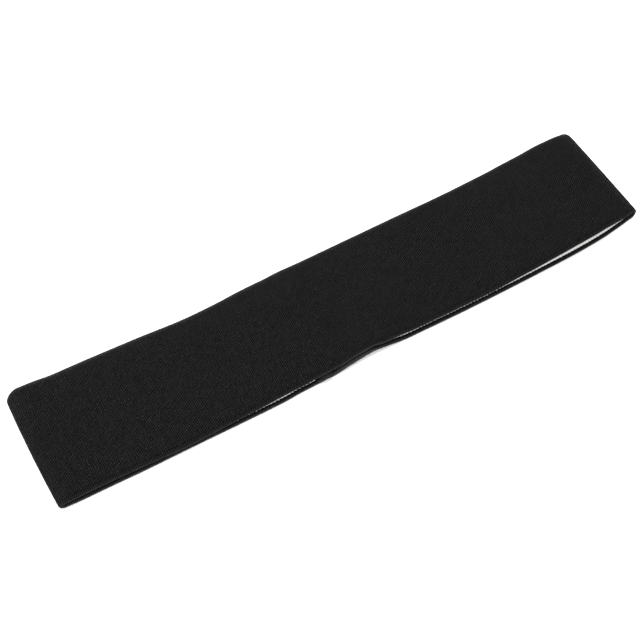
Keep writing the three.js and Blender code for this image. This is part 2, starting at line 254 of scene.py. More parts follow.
class Loop:
    """The lying loop: where each point of its cloth is, in metres.

    A place on it has a turn, from 0 to 1 once round (top layer, right fold, base layer,
    left fold), a share of the width from near to far, and a depth under the outer face.
    """

    SLOPE_STEP = 0.01  # share of the width over which a slope is taken
    TURN_STEP = 0.0008  # the same along the loop

    def __init__(self, scene):
        self.sizes = sizes = scene.sweatband_sizes
        self.seam = seam = scene.sweatband_seam
        self.stitches = scene.sweatband_stitches
        self.edges = [Column(LONG_EDGES, column) for column in (1, 2, 3)]
        self.rise = [Column(LAYER_RISE, column) for column in (1, 2, 3)]
        self.curl = Column(EDGE_CURL, 1)
        self.roll = Column(ROLLED_EDGE, 1)
        self.rim_radius = sizes.shell_ply
        self.rim_depth = 2 * sizes.shell_ply
        self.return_depth = self.rim_radius + sizes.return_flat
        self.lining_depth = sizes.shell_ply + sizes.ply_gap
        self.wall = max(self.rim_depth, self.lining_depth + sizes.lining_ply)
        self.closed_stack = 2 * self.wall + sizes.layer_gap
        self.seam_stack = seam.ply + sizes.ply_gap
        self.seam_x = SEAM_AT * sizes.flat_length
        self.set_stretches()
        # Knit stitches once round: an even number, so that the knit meets itself.
        self.stitch_count = 2 * round(self.length / (2 * self.stitches.stitch_pitch))
        self.offset = self.frame_offset()

    def set_stretches(self):
        """Shares the turn between the four stretches by their length at mid-width."""
        left, right, left_radius, right_radius = self.strand(np.array([MID_WIDTH]))
        flat = (right - right_radius - left - left_radius)[0]
        lengths = [flat, math.pi * right_radius[0], flat, math.pi * left_radius[0]]
        self.length = sum(lengths)
        self.ends = np.cumsum(lengths) / self.length
        self.fold_tips = (self.ends[0] + self.ends[1]) / 2, (self.ends[2] + 1) / 2

    def frame_offset(self):
        """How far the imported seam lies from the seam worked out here."""
        low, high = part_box("back_seam")
        near = self.edges[1].read(SEAM_AT) * self.sizes.band_width - self.seam.proud
        return np.array([(low[0] + high[0]) / 2 - self.seam_x, low[1] - near, 0.0])

    def stack_height(self, x, across):
        """Height from the outer face of the base layer to that of the top layer."""
        at = x / self.sizes.flat_length
        near, middle, far = (column.read(at) for column in self.rise)
        held_apart = self.seam_stack * bell(x - self.seam_x, self.seam.spread)
        opened = self.sizes.open_height * across_value(near, middle, far, across)
        return self.closed_stack + held_apart + opened

    def base_height(self, x, across):
        """Height of the base layer's outer face over the surface that it lies on."""
        from_edge = np.maximum(0, across) * self.sizes.band_width
        curl = np.maximum(0, 1 - from_edge / self.sizes.curl_width)
        return self.sizes.edge_lift * self.curl.read(x / self.sizes.flat_length) * curl**2

    def strand(self, across):
        """Fold tips and fold radii of one strand of the loop."""
        length = self.sizes.flat_length
        left = length * across_value(*LEFT_FOLD, across)
        right = length * across_value(*RIGHT_FOLD, across)
        left_radius = self.stack_height(left, across) / 2
        right_radius = self.stack_height(right, across) / 2
        return left, right, left_radius, right_radius

    def outer_point(self, turn, across):
        """Point on the outer face."""
        turn = turn % 1
        left, right, left_radius, right_radius = self.strand(across)
        start, end = left + left_radius, right - right_radius
        ends = self.ends
        on_top = turn < ends[0]
        on_right = (turn >= ends[0]) & (turn < ends[1])
        on_base = (turn >= ends[1]) & (turn < ends[2])
        top_x = mix(start, end, turn / ends[0])
        base_x = mix(end, start, (turn - ends[1]) / (ends[2] - ends[1]))
        right_angle = math.pi * (turn - ends[0]) / (ends[1] - ends[0])
        left_angle = math.pi * (turn - ends[2]) / (1 - ends[2])
        right_x = end + right_radius * np.sin(right_angle)
        left_x = start - left_radius * np.sin(left_angle)
        x = np.select([on_top, on_right, on_base], [top_x, right_x, base_x], left_x)
        flat_z = self.base_height(x, across) + np.where(on_top, self.stack_height(x, across), 0)
        right_z = right_radius * (1 + np.cos(right_angle))
        left_z = left_radius * (1 - np.cos(left_angle))
        on_flat = on_top | on_base
        z = np.select([on_flat, on_right], [flat_z, right_z], left_z)
        top_share = np.select(
            [on_flat, on_right],
            [np.where(on_top, 1.0, 0.0), (1 + np.cos(right_angle)) / 2],
            (1 - np.cos(left_angle)) / 2,
        )
        flat_tip = np.minimum(
            x - start + left_radius * math.pi / 2, end - x + right_radius * math.pi / 2
        )
        from_tip = np.select(
            [on_flat, on_right],
            [flat_tip, right_radius * np.abs(right_angle - math.pi / 2)],
            left_radius * np.abs(left_angle - math.pi / 2),
        )
        width, at = self.sizes.band_width, x / self.sizes.flat_length
        top_near, base_near, far_edge = (column.read(at) for column in self.edges)
        pull = bell(from_tip, self.sizes.pull_reach)
        near = width * mix(base_near, top_near, top_share) + self.sizes.near_pull * pull
        far = width * far_edge - self.sizes.far_pull * pull
        return np.stack([x, mix(near, far, across), z], axis=-1) + self.offset

    def inward(self, turn, across):
        """Direction from the outer face into the cloth."""
        along = self.outer_point(turn + self.TURN_STEP, across)
        along = along - self.outer_point(turn - self.TURN_STEP, across)
        width = self.outer_point(turn, across + self.SLOPE_STEP)
        width = width - self.outer_point(turn, across - self.SLOPE_STEP)
        normal = np.cross(width, along)
        return normal / np.linalg.norm(normal, axis=-1, keepdims=True)

    def point(self, turn, across, depth):
        """Point at a depth under the outer face."""
        return self.outer_point(turn, across) + self.inward(turn, across) * depth[..., None]

    def rolled(self, turn):
        """How far the base layer's near edge is rolled over, from 0 to 1."""
        x = self.outer_point(turn, np.zeros_like(turn))[..., 0] - self.offset[0]
        on_base = (turn > self.ends[1]) & (turn < self.ends[2])
        return self.roll.read(x / self.sizes.flat_length) * on_base


def finish_piece(mesh, name, material):
    """Puts a finished mesh in the scene as a piece that rides with the band."""
    mesh.materials.append(material)
    piece = bpy.data.objects.new(name, mesh)
    bpy.context.scene.collection.objects.link(piece)
    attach(piece, ROOT)
    return piece


def mesh_from(bm, name):
    """A new mesh with the shape of a bmesh, which it frees."""
    mesh = bpy.data.meshes.new(name)
    bm.to_mesh(mesh)
    bm.free()
    return mesh


def face_outwards(mesh, merge=False):
    """Turns a closed mesh's faces outwards, once its seams are merged if it has any."""
    bm = bmesh.new()
    bm.from_mesh(mesh)
    if merge:
        bmesh.ops.remove_doubles(bm, verts=bm.verts, dist=MERGE_DISTANCE)
    bmesh.ops.recalc_face_normals(bm, faces=bm.faces)
    bm.to_mesh(mesh)
    bm.free()


def set_points(mesh, points):
    """Moves a mesh's vertices to an array of points."""
    mesh.vertices.foreach_set("co", np.asarray(points, np.float32).ravel())
    mesh.update()


def mesh_points(mesh):
    """A mesh's vertices as an array of points."""
    points = np.empty(len(mesh.vertices) * 3, np.float32)
    mesh.vertices.foreach_get("co", points)
    return points.reshape(-1, 3).astype(float)


def swept_mesh(name, columns, rows, place):
    """A grid bent into a closed ring of cloth.

    place takes each vertex's column and row and gives its point, its place on the knit and
    its relief and painted light: how much of it is rim rib and stitch pit, and how much painted
    highlight (above 0) and painted shade (below 0) it gets.
    """
    bm = bmesh.new()
    bmesh.ops.create_grid(bm, x_segments=columns, y_segments=rows, size=GRID_HALF)
    mesh = mesh_from(bm, name)
    flat = mesh_points(mesh) + GRID_HALF
    column = np.rint(flat[:, 0] * columns).astype(int)
    row = np.rint(flat[:, 1] * rows).astype(int)
    points, knit, relief = place(column, row)
    set_points(mesh, points)
    attribute = mesh.attributes.new(RELIEF_AND_LIGHT, "FLOAT_VECTOR", "POINT")
    attribute.data.foreach_set("vector", relief.astype(np.float32).ravel())
    corners = np.empty(len(mesh.loops), np.int32)
    mesh.loops.foreach_get("vertex_index", corners)
    layer = mesh.uv_layers.new(name=KNIT_MAP)
    layer.data.foreach_set("uv", knit[corners].astype(np.float32).ravel())
    face_outwards(mesh, merge=True)
    mesh.shade_smooth()
    mesh.set_sharp_from_angle(angle=SHARP_ANGLE)
    return mesh


def repeated_mesh(name, pattern, count):
    """Copies of one small mesh in one mesh, its vertices in the same order in each."""
    bm = bmesh.new()
    for _ in range(count):
        bm.from_mesh(pattern)
    mesh = mesh_from(bm, name)
    mesh.shade_smooth()
    return mesh


GRAIN_SIDES = 6
GRAIN_RINGS = 8


def grain_pattern():
    """A closed grain with its length along X from -1 to 1."""
    bm = bmesh.new()
    turned = Matrix.Rotation(math.pi / 2, 4, "Y")
    bmesh.ops.create_uvsphere(
        bm, u_segments=GRAIN_SIDES, v_segments=GRAIN_RINGS, radius=1, matrix=turned
    )
    return mesh_from(bm, "grain_pattern")


class Section:
    """Spots once round a cloth's section, each with its outward direction, relief and painted
    light.
    """

    def __init__(self):
        self.spots = []

    def add(self, across, depth, out=(0.0, -1.0), rib=0.0, pit=0.0, roll=0.0, painted_light=0.0):
        """One spot: share of the width, depth, how much ribs, pits and the roll shape it, and
        how much painted highlight (above 0) and painted shade (below 0) it gets."""
        self.spots.append((across, depth, out[0], out[1], rib, pit, roll, painted_light))

    def arrays(self, loop):
        """The spots' columns, closed, and the courses counted round the section to each spot."""
        rows = np.array(self.spots + self.spots[:1])
        steps = np.hypot(np.diff(rows[:, 0]) * loop.sizes.band_width, np.diff(rows[:, 1]))
        share = np.concatenate([[0], np.cumsum(steps)]) / steps.sum()
        return rows.T, share * round(steps.sum() / loop.stitches.course_pitch)


RIM_STEPS = 8  # round each rim
RIB_SLANT = 1.0  # how many stitches a rib leans along the edge for each course that it crosses
# Spots on the outer face near an edge: distance from it in rim radii, how strongly the rim's
# ribs still show there, how deep the stitches pull in, and how much painted sheen lightens the
# far edge there, where it curves away.
RIM_SPOTS = (
    (1.0, 1.0, 0.3, 1.3),
    (1.3, 0.8, 1.0, 1.0),
    (1.6, 0.4, 0.8, 0.7),
    (2.0, 0.1, 0.2, 0.4),
    (3.0, 0.0, 0.0, 0.1),
)
FAR_PITS = 0.3  # how deep the far edge's pits are beside the near edge's
FACE_SHARES = (0.12, 0.22, 0.45, 0.72)  # the outer face's spots between both edges' own
INNER_SHARES = (0.7, 0.22)  # the inner face's spots, from the far edge to the near one
FOLD_SHEEN = (1.0, 0.3)  # painted sheen on the right and the left fold, where the knit curves round
FOLD_REACH = 0.009  # distance round a fold, from its tip, where its painted sheen ends
RIM_HIGHLIGHT = 1.3  # painted highlight on a rim at its brightest angle, where light catches the edge
RIM_HIGHLIGHT_TURN = 0.25  # how far past the rim's outermost line that angle is
RIM_HIGHLIGHT_FOCUS = 4  # how closely the painted highlight keeps to that angle
RETURN_RIB = 0.5  # how strongly the ribs show on the turned-over ends
RETURN_SHADE = -0.4  # painted shade for the shadowed gap at the edges: the turned-over ends are darker than the rest
ROLL_HIGHLIGHT = 1.4  # painted highlight where the near edge is rolled over and its turned face catches the light


def rim_highlight(angle):
    """Painted highlight on a rim at an angle round it from the outer face: most past its edge."""
    return RIM_HIGHLIGHT * math.sin(angle - RIM_HIGHLIGHT_TURN) ** RIM_HIGHLIGHT_FOCUS


def shell_section(loop):
    """Outer knit: one ply turned over at both long edges into a rounded double rim."""
    width, radius, ply = loop.sizes.band_width, loop.rim_radius, loop.sizes.shell_ply
    rim, returned = radius / width, loop.return_depth / width
    section = Section()
    for distance, rib, pit, _ in RIM_SPOTS:
        section.add(distance * rim, 0, rib=rib, pit=pit)
    for share in FACE_SHARES:
        section.add(share, 0)
    # Far edge's face spots, lightened with painted sheen.
    for distance, rib, pit, painted_light in reversed(RIM_SPOTS):
        section.add(1 - distance * rim, 0, rib=rib, pit=FAR_PITS * pit, painted_light=painted_light)
    # Far rim, with painted highlight past its edge.
    for step in range(1, RIM_STEPS + 1):
        angle = math.pi * step / RIM_STEPS
        out = (math.sin(angle), -math.cos(angle))
        spot = (1 - rim + rim * math.sin(angle), radius * (1 - math.cos(angle)))
        section.add(*spot, out, rib=1, painted_light=max(RIM_SPOTS[0][3], rim_highlight(angle)))
    # Far turned-over end, darkened with painted shade.
    section.add(1 - returned, loop.rim_depth, (0, 1), rib=RETURN_RIB, painted_light=RETURN_SHADE)
    section.add(1 - returned, ply)
    for share in INNER_SHARES:
        section.add(share, ply)
    section.add(returned, ply, roll=1)
    # Near turned-over end, darkened with painted shade.
    section.add(returned, loop.rim_depth, (0, 1), rib=RETURN_RIB, roll=1, painted_light=RETURN_SHADE)
    # Near rim, with painted highlight along the lip.
    for step in range(RIM_STEPS):
        angle = math.pi * step / RIM_STEPS
        out = (-math.sin(angle), math.cos(angle))
        spot = (rim - rim * math.sin(angle), radius * (1 + math.cos(angle)))
        section.add(*spot, out, rib=1, painted_light=rim_highlight(math.pi - angle))
    return section


LINING_CLEARANCE = 0.00006  # between the lining's edge and the outer knit's return
LINING_ROUND = 0.0002  # how much of the lining's edge is rounded off
LINING_SHARES = (0.05, 0.09, 0.15, 0.3, 0.5, 0.7, 0.85, 0.91, 0.95)  # each face's spots


def lining_section(loop):
    """Inner knit: a flat ply with softly rounded edges, laid between the two rims."""
    width, ply, depth = loop.sizes.band_width, loop.sizes.lining_ply, loop.lining_depth
    margin = (loop.return_depth + LINING_CLEARANCE) / width
    soft = LINING_ROUND / width
    section = Section()
    section.add(margin + soft, depth, roll=1)
    for share in LINING_SHARES:
        section.add(share, depth)
    section.add(1 - margin - soft, depth)
    section.add(1 - margin, depth + LINING_ROUND)
    section.add(1 - margin, depth + ply - LINING_ROUND)
    section.add(1 - margin - soft, depth + ply)
    for share in reversed(LINING_SHARES):
        section.add(share, depth + ply)
    section.add(margin + soft, depth + ply, roll=1)
    section.add(margin, depth + ply - LINING_ROUND, roll=1)
    section.add(margin, depth + LINING_ROUND, roll=1)
    return section


SHELL_STATIONS = 4  # to each stitch
PIT_SEED = 7
PIT_TIGHTNESS = (0.75, 1.25)  # least and most that one stitch pulls in, beside the usual


def make_shell(loop):
    """Outer knit with ribbed rims, the pits of its edge stitches and the seam's groove."""
    width, stitches, count = loop.sizes.band_width, loop.stitches, loop.stitch_count
    stations = count * SHELL_STATIONS
    rows, courses = shell_section(loop).arrays(loop)
    tightness = np.random.default_rng(PIT_SEED).uniform(*PIT_TIGHTNESS, count)

    def place(column, row):
        """Points, places on the knit, relief and painted light of the shell's vertices."""
        turn = column / stations
        across, depth, out_across, out_depth, rib, pit, roll, painted_light = rows[:, row]
        rolled = loop.rolled(turn)
        across = across + roll * rolled * loop.sizes.roll / width
        stitch = column / SHELL_STATIONS
        slanted = stitch - RIB_SLANT * courses[row % (rows.shape[1] - 1)]
        groove = (1 - np.cos(2 * math.pi * slanted)) / 2
        tight = tightness[np.floor(slanted).astype(int) % count]
        sunk = tight * groove * (stitches.rib_depth * rib + stitches.pit_depth * pit)
        x = loop.outer_point(turn, across)[:, 0] - loop.offset[0]
        on_base = (turn > loop.ends[1]) & (turn < loop.ends[2])
        seam_line = bell(x - loop.seam_x, 2 * loop.seam.groove) * on_base * (out_depth < 0)
        sunk = sunk + loop.seam.groove * seam_line
        points = loop.point(turn, across - out_across * sunk / width, depth - out_depth * sunk)
        knit = np.stack([stitch, courses[row]], axis=-1)
        # Painted highlight on the rolled-over near edge beside the seam.
        painted_light = painted_light + ROLL_HIGHLIGHT * rolled * (depth > loop.rim_radius) * (roll == 0)
        # Painted sheen round the fold tips.
        for tip, fold_sheen in zip(loop.fold_tips, FOLD_SHEEN):
            from_tip = ((turn - tip + HALF_TURN) % 1 - HALF_TURN) * loop.length
            painted_light = painted_light + fold_sheen * bell(from_tip, FOLD_REACH) * (out_depth < 0)
        return points, knit, np.stack([rib, pit, painted_light], axis=-1)

    return swept_mesh("shell", stations, rows.shape[1] - 1, place)


LINING_STATIONS = 2  # to each stitch


def make_lining(loop):
    """Inner knit."""
    stations = loop.stitch_count * LINING_STATIONS
    rows, courses = lining_section(loop).arrays(loop)

    def place(column, row):
        """Points, places on the knit and relief of the lining's vertices."""
        turn = column / stations
        across, depth, _, _, _, _, roll, _ = rows[:, row]
        across = across + roll * loop.rolled(turn) * loop.sizes.roll / loop.sizes.band_width
        knit = np.stack([column / LINING_STATIONS, courses[row]], axis=-1)
        return loop.point(turn, across, depth), knit, np.zeros((len(column), 3))

    return swept_mesh("lining", stations, rows.shape[1] - 1, place)


STITCH_FLATNESS = 0.6  # how high an edge stitch is for its width
TOOTH_LEAN = 0.3  # how far a slanting stitch leans along the edge, in its own lengths
TOOTH_RISE = 0.00008  # how much higher its middle stands than its ends
TOOTH_SEED = 11  # the near edge's, and one more for the far edge's
CHAIN_LENGTH = 1.1  # length of a chain stitch, in pitches
CHAIN_RISE = 0.00003  # the same for a chain stitch
CHAIN_SEED = 31
EDGE_WANDER = 0.08  # how far a stitch strays along the edge, in pitches
EDGE_LENGTHS = (0.9, 1.12)  # shortest and longest stitch, in usual lengths
EDGE_WIDTHS = (0.88, 1.12)  # thinnest and thickest stitch, in usual widths

# A row of like stitches along an edge: how far from it they start, how far they reach away
# from it and lean along it, how much their middle rises, and the seed of their unevenness.
EdgeRow = namedtuple("EdgeRow", "name start reach lean rise seed")


def edge_rows(loop):
    """The slanting stitches over the lining's edge and the chain along it."""
    tooth = loop.stitches.edge_length
    start = loop.return_depth + loop.stitches.edge_overlap - tooth
    slanting = EdgeRow("edge_stitches", start, tooth, TOOTH_LEAN * tooth, TOOTH_RISE, TOOTH_SEED)
    length = CHAIN_LENGTH * loop.stitches.edge_pitch
    chain = EdgeRow("edge_chain", loop.return_depth, 0, length, CHAIN_RISE, CHAIN_SEED)
    return slanting, chain


def make_edge_row(loop, row, side_name, far):
    """One row of stitches along the near or the far edge, inside the loop."""
    count = round(loop.length / loop.stitches.edge_pitch)
    pattern = grain_pattern()
    along, side, up = mesh_points(pattern).T
    mesh = repeated_mesh(f"{side_name}_{row.name}", pattern, count)
    bpy.data.meshes.remove(pattern)
    random = np.random.default_rng(row.seed + far)
    stray = random.uniform(-EDGE_WANDER, EDGE_WANDER, count)
    centre = ((np.arange(count) + stray) / count)[:, None]
    size = random.uniform(*EDGE_LENGTHS, count)[:, None]
    thread = (loop.stitches.edge_thread * random.uniform(*EDGE_WIDTHS, count) / 2)[:, None]
    length = math.hypot(row.lean, row.reach)
    along_edge = size * row.lean / 2 * along - row.reach / length * thread * side
    from_edge = row.start + row.reach / 2 * (1 + size * along) + row.lean / length * thread * side
    turn = centre + along_edge / loop.length
    if not far:
        from_edge = from_edge + loop.sizes.roll * loop.rolled(turn)
    share = from_edge / loop.sizes.band_width
    across = 1 - share if far else share
    depth = loop.wall + STITCH_FLATNESS * thread * up + row.rise * (1 - along**2)
    set_points(mesh, loop.point(turn.ravel(), across.ravel(), depth.ravel()))
    face_outwards(mesh)
    return mesh


SEAM_STEPS = 50
SEAM_SIDES = 16
SEAM_SQUARENESS = 3.0  # how square the allowance's section is: 2 is an oval
SEAM_SEED = 5
SEAM_RAGGED = 0.004  # how far its cut ends are ragged, as a share of the width
END_MARGIN = 1e-6


def seam_frame(loop, along, across, up):
    """Points over the base layer's inner face beside the seam, from offsets in metres."""
    edges, width = loop.edges, loop.sizes.band_width
    near = edges[1].read(SEAM_AT) * width - loop.seam.proud
    far = edges[2].read(SEAM_AT) * width + loop.seam.proud
    x = loop.seam_x + along
    z = loop.base_height(x, across) + loop.wall + loop.sizes.ply_gap + up
    return np.stack([x, mix(near, far, across), z], axis=-1) + loop.offset


def squared(angle, half_width, half_height, power=SEAM_SQUARENESS):
    """A softly squared oval, as points at each angle."""
    cosine, sine = np.cos(angle), np.sin(angle)
    share = (np.abs(cosine) ** power + np.abs(sine) ** power) ** (-1 / power)
    return half_width * share * cosine, half_height * share * sine


def make_seam(loop):
    """The overlocked allowance: both cut plies pressed flat across the base layer."""
    seam = loop.seam
    bm = bmesh.new()
    bmesh.ops.create_circle(bm, cap_ends=True, segments=SEAM_SIDES, radius=1)
    face = bm.faces[:]
    for step in range(SEAM_STEPS):
        made = bmesh.ops.extrude_face_region(bm, geom=face)["geom"]
        verts = [item for item in made if isinstance(item, bmesh.types.BMVert)]
        bmesh.ops.translate(bm, verts=verts, vec=(0, 0, 1))
        if step:
            bmesh.ops.delete(bm, geom=face, context="FACES_ONLY")
        face = [item for item in made if isinstance(item, bmesh.types.BMFace)]
    bmesh.ops.recalc_face_normals(bm, faces=bm.faces)
    mesh = mesh_from(bm, "back_seam")
    flat = mesh_points(mesh)
    angle = np.arctan2(flat[:, 1], flat[:, 0])
    across = flat[:, 2] / SEAM_STEPS
    inside = seam.thread / 2
    along, up = squared(angle, seam.width / 2 - inside, seam.ply / 2 - inside)
    random = np.random.default_rng(SEAM_SEED)
    wander = random.uniform(-1, 1, SEAM_STEPS + 1)[np.rint(flat[:, 2]).astype(int)]
    along = along + inside * wander
    ends = (across < END_MARGIN) | (across > 1 - END_MARGIN)
    ragged = random.uniform(-1, 1, len(flat)) * SEAM_RAGGED
    across = across + np.where(ends, ragged, 0)
    set_points(mesh, seam_frame(loop, along, across, up + seam.ply / 2))
    mesh.shade_smooth()
    mesh.set_sharp_from_angle(angle=SHARP_ANGLE)
    return mesh


LOOP_STEPS = 20
LOOP_SIDES = 6
LOOP_LEAN = 0.7  # how far an overlock loop leans, in loop pitches
LOOP_SEED = 3
LOOP_WANDER = 0.15  # how far a loop strays along the seam, in loop pitches
LOOP_WIDTHS = (-0.3, 0.6)  # how much narrower or wider a loop is, in thread radii
LOOP_HEIGHTS = (-0.1, 0.3)  # how much lower or higher a loop is, in thread radii
RING_RADIUS = 2  # radius of the ring that a loop is bent from, in thread radii
RING_MERGE = 1e-4


def ring_pattern():
    """A closed ring of thread round the origin, with a thread of radius 1."""
    bm = bmesh.new()
    upright = Matrix.Translation((RING_RADIUS, 0, 0)) @ Matrix.Rotation(math.pi / 2, 4, "X")
    bmesh.ops.create_circle(bm, segments=LOOP_SIDES, radius=1, matrix=upright)
    bmesh.ops.spin(
        bm,
        geom=bm.verts[:] + bm.edges[:],
        cent=(0, 0, 0),
        axis=(0, 0, 1),
        angle=2 * math.pi,
        steps=LOOP_STEPS,
        use_merge=True,
    )
    bmesh.ops.remove_doubles(bm, verts=bm.verts, dist=RING_MERGE)
    bmesh.ops.recalc_face_normals(bm, faces=bm.faces)
    return mesh_from(bm, "ring_pattern")


def make_seam_threads(loop):
    """Overlock loops wrapped round the seam allowance."""
    seam = loop.seam
    pattern = ring_pattern()
    ring = mesh_points(pattern)
    mesh = repeated_mesh("seam_threads", pattern, seam.loops)
    bpy.data.meshes.remove(pattern)
    random = np.random.default_rng(LOOP_SEED)
    round_ring = np.arctan2(ring[:, 1], ring[:, 0])
    out = np.hypot(ring[:, 0], ring[:, 1]) - RING_RADIUS
    side = ring[:, 2]
    thread = seam.thread / 2
    stray = random.uniform(-LOOP_WANDER, LOOP_WANDER, seam.loops)
    centre = (np.arange(seam.loops) + 1 / 2 + stray) / seam.loops
    half_width = seam.width / 2 - thread + random.uniform(*LOOP_WIDTHS, seam.loops) * thread
    half_height = seam.ply / 2 - thread + random.uniform(*LOOP_HEIGHTS, seam.loops) * thread
    along, up = squared(round_ring[None, :], half_width[:, None], half_height[:, None])
    along = along + thread * out * np.cos(round_ring)
    up = up + thread * out * np.sin(round_ring)
    lean = LOOP_LEAN * along / seam.width / seam.loops
    across = centre[:, None] + lean + thread * side / loop.sizes.band_width
    points = seam_frame(loop, along.ravel(), across.ravel(), up.ravel() + seam.ply / 2)
    set_points(mesh, points)
    face_outwards(mesh)
    return mesh


# The knit comes to stand out more between these two places along the band.
OPEN_END = (0.0, 0.08)
HALF_STITCH = 0.5


class Nodes:
    """Short calls for a material's nodes."""

    def __init__(self, name):
        self.material = bpy.data.materials.new(name)
        self.material.use_nodes = True
        self.tree = self.material.node_tree
        self.shader = self.tree.nodes["Principled BSDF"]

    def add(self, kind, **settings):
        """A new node with some of its settings."""
        node = self.tree.nodes.new(kind)
        for key, value in settings.items():
            setattr(node, key, value)
        return node

    def put(self, value, socket):
        """Links an output to a socket, or sets the socket's value."""
        if isinstance(value, bpy.types.NodeSocket):
            self.tree.links.new(value, socket)
        else:
            socket.default_value = value

    def math(self, operation, *values):
        """Result of a math node."""
        node = self.add("ShaderNodeMath", operation=operation)
        for value, socket in zip(values, node.inputs):
            self.put(value, socket)
        return node.outputs[0]

    def added(self, start, *parts):
        """A value with a share of each of some others added."""
        for value, share in parts:
            start = self.math("MULTIPLY_ADD", value, share, start)
        return start

    def wave(self, stitch, course, per_stitch, per_course):
        """A wave over the knit, from 0 to 1, with its turns per stitch and per course."""
        turns = self.math("MULTIPLY", stitch, per_stitch)
        turns = self.math("MULTIPLY_ADD", course, per_course, turns)
        wave = self.math("COSINE", self.math("MULTIPLY", turns, 2 * math.pi))
        return self.math("MULTIPLY_ADD", wave, 0.5, 0.5)

    def weave(self, stitch, course, waves):
        """Height of a knit, from 0 to 1, out of several waves over it."""
        parts = [
            (self.wave(stitch, course, per_stitch, per_course), share)
            for per_stitch, per_course, share in waves
        ]
        return self.added(0.0, *parts)

    def parts(self, vector):
        """A vector's three numbers."""
        node = self.add("ShaderNodeSeparateXYZ")
        self.put(vector, node.inputs[0])
        return node.outputs["X"], node.outputs["Y"], node.outputs["Z"]

    def cell_tone(self, stitch, course):
        """An even random tone, from 0 to 1, for each of the staggered stitches."""
        row = self.math("FLOOR", self.math("ADD", stitch, HALF_STITCH))
        middle = self.math("ADD", course, HALF_STITCH)
        stagger = self.math("MULTIPLY_ADD", row, HALF_STITCH, middle)
        place = self.add("ShaderNodeCombineXYZ")
        self.put(row, place.inputs["X"])
        self.put(self.math("FLOOR", stagger), place.inputs["Y"])
        noise = self.add("ShaderNodeTexWhiteNoise", noise_dimensions="2D")
        self.put(place.outputs[0], noise.inputs["Vector"])
        return noise.outputs["Value"]

    def open_end(self):
        """How near a place is to the more open fold, from 0 to 1."""
        along, _, _ = self.parts(self.add("ShaderNodeTexCoord").outputs["Object"])
        node = self.add("ShaderNodeMapRange", interpolation_type="SMOOTHSTEP")
        self.put(along, node.inputs["Value"])
        for name, place in zip(("From Min", "From Max"), OPEN_END):
            self.put(place, node.inputs[name])
        return node.outputs["Result"]

    def relief(self):
        """How much rim rib and stitch pit there is, and how much painted highlight and shade the
        knit gets.
        """
        attribute = self.add("ShaderNodeAttribute", attribute_name=RELIEF_AND_LIGHT)
        return self.parts(attribute.outputs["Vector"])

    def noise(self, vector, scale, detail, output="Fac"):
        """Soft noise from 0 to 1."""
        node = self.add("ShaderNodeTexNoise")
        self.put(vector, node.inputs["Vector"])
        self.put(scale, node.inputs["Scale"])
        self.put(detail, node.inputs["Detail"])
        return node.outputs[output]

    def dye(self, factor, yarn, stops):
        """Colours the surface by a factor from 0 to 1: each stop has its place and how many
        times as light as the yarn it is."""
        node = self.add("ShaderNodeValToRGB")
        self.put(factor, node.inputs[0])
        elements = node.color_ramp.elements
        while len(elements) < len(stops):
            elements.new(1.0)
        for element, (place, share) in zip(elements, stops):
            element.position = place
            element.color = (*(min(1.0, channel * share) for channel in yarn), 1.0)
        self.put(node.outputs["Color"], self.shader.inputs["Base Color"])

    def bump(self, height, distance):
        """Fine relief from a height of 0 to 1, at a distance in metres."""
        node = self.add("ShaderNodeBump")
        self.put(distance, node.inputs["Distance"])
        self.put(height, node.inputs["Height"])
        self.put(node.outputs["Normal"], self.shader.inputs["Normal"])

    def set(self, **values):
        """Values of the shader's own sockets."""
        for name, value in values.items():
            self.shader.inputs[name.replace("_", " ")].default_value = value


UNEVEN_SCALE = 0.6
UNEVEN_DETAIL = 1.0


def knit_coordinates(nodes, wander):
    """The knit's own map, and stitch and course numbers with its loops slightly uneven."""
    knit = nodes.add("ShaderNodeUVMap", uv_map=KNIT_MAP).outputs["UV"]
    offset = nodes.add("ShaderNodeVectorMath", operation="MULTIPLY_ADD")
    nodes.put(nodes.noise(knit, UNEVEN_SCALE, UNEVEN_DETAIL, "Color"), offset.inputs[0])
    nodes.put((wander, wander, 0.0), offset.inputs[1])
    nodes.put(knit, offset.inputs[2])
    stitch, course, _ = nodes.parts(offset.outputs["Vector"])
    return knit, stitch, course


FIBRE_SCALE = 7.0
FIBRE_DETAIL = 3.0
BLACK_WANDER = 1.1  # how uneven the black knit's loops are, in stitches
# The black knit's waves: turns to a stitch, turns to a course and share of its height.
BLACK_WAVES = (
    (0.5, -1.0, 0.42),
    (1.0, 0.0, 0.28),
    (0.5, 1.0, 0.1),
    (0.0, 1.0, 0.2),
)
BLACK_FIBRE = 0.25  # height of the fibres beside the stitches'
BLACK_BUMP = 0.00016
PATCH_SCALE = 0.05
MID_TONE = 0.5
OPEN_CRISPNESS = 0.4  # how much more the knit stands out at the open end
# How much each of these lightens the black knit's tone. The fourth scales the painted highlight
# and shade that the mesh carries; the fifth is painted shade in the stitch pits.
OPEN_TONE = -0.03
STITCH_TONE = 0.13
PATCH_TONE = 0.05
PAINTED_LIGHT_TONE = 0.35
# Painted shade in the stitch pits.
PIT_SHADE_TONE = -0.2
# The black knit's tones, each with how many times as light as the yarn it is.
BLACK_TONES = ((0.3, 0.1), (0.7, 1.0), (1.1, 2.6), (1.5, 7.0))
TONE_RANGE = 1.5  # highest tone that a stitch can have


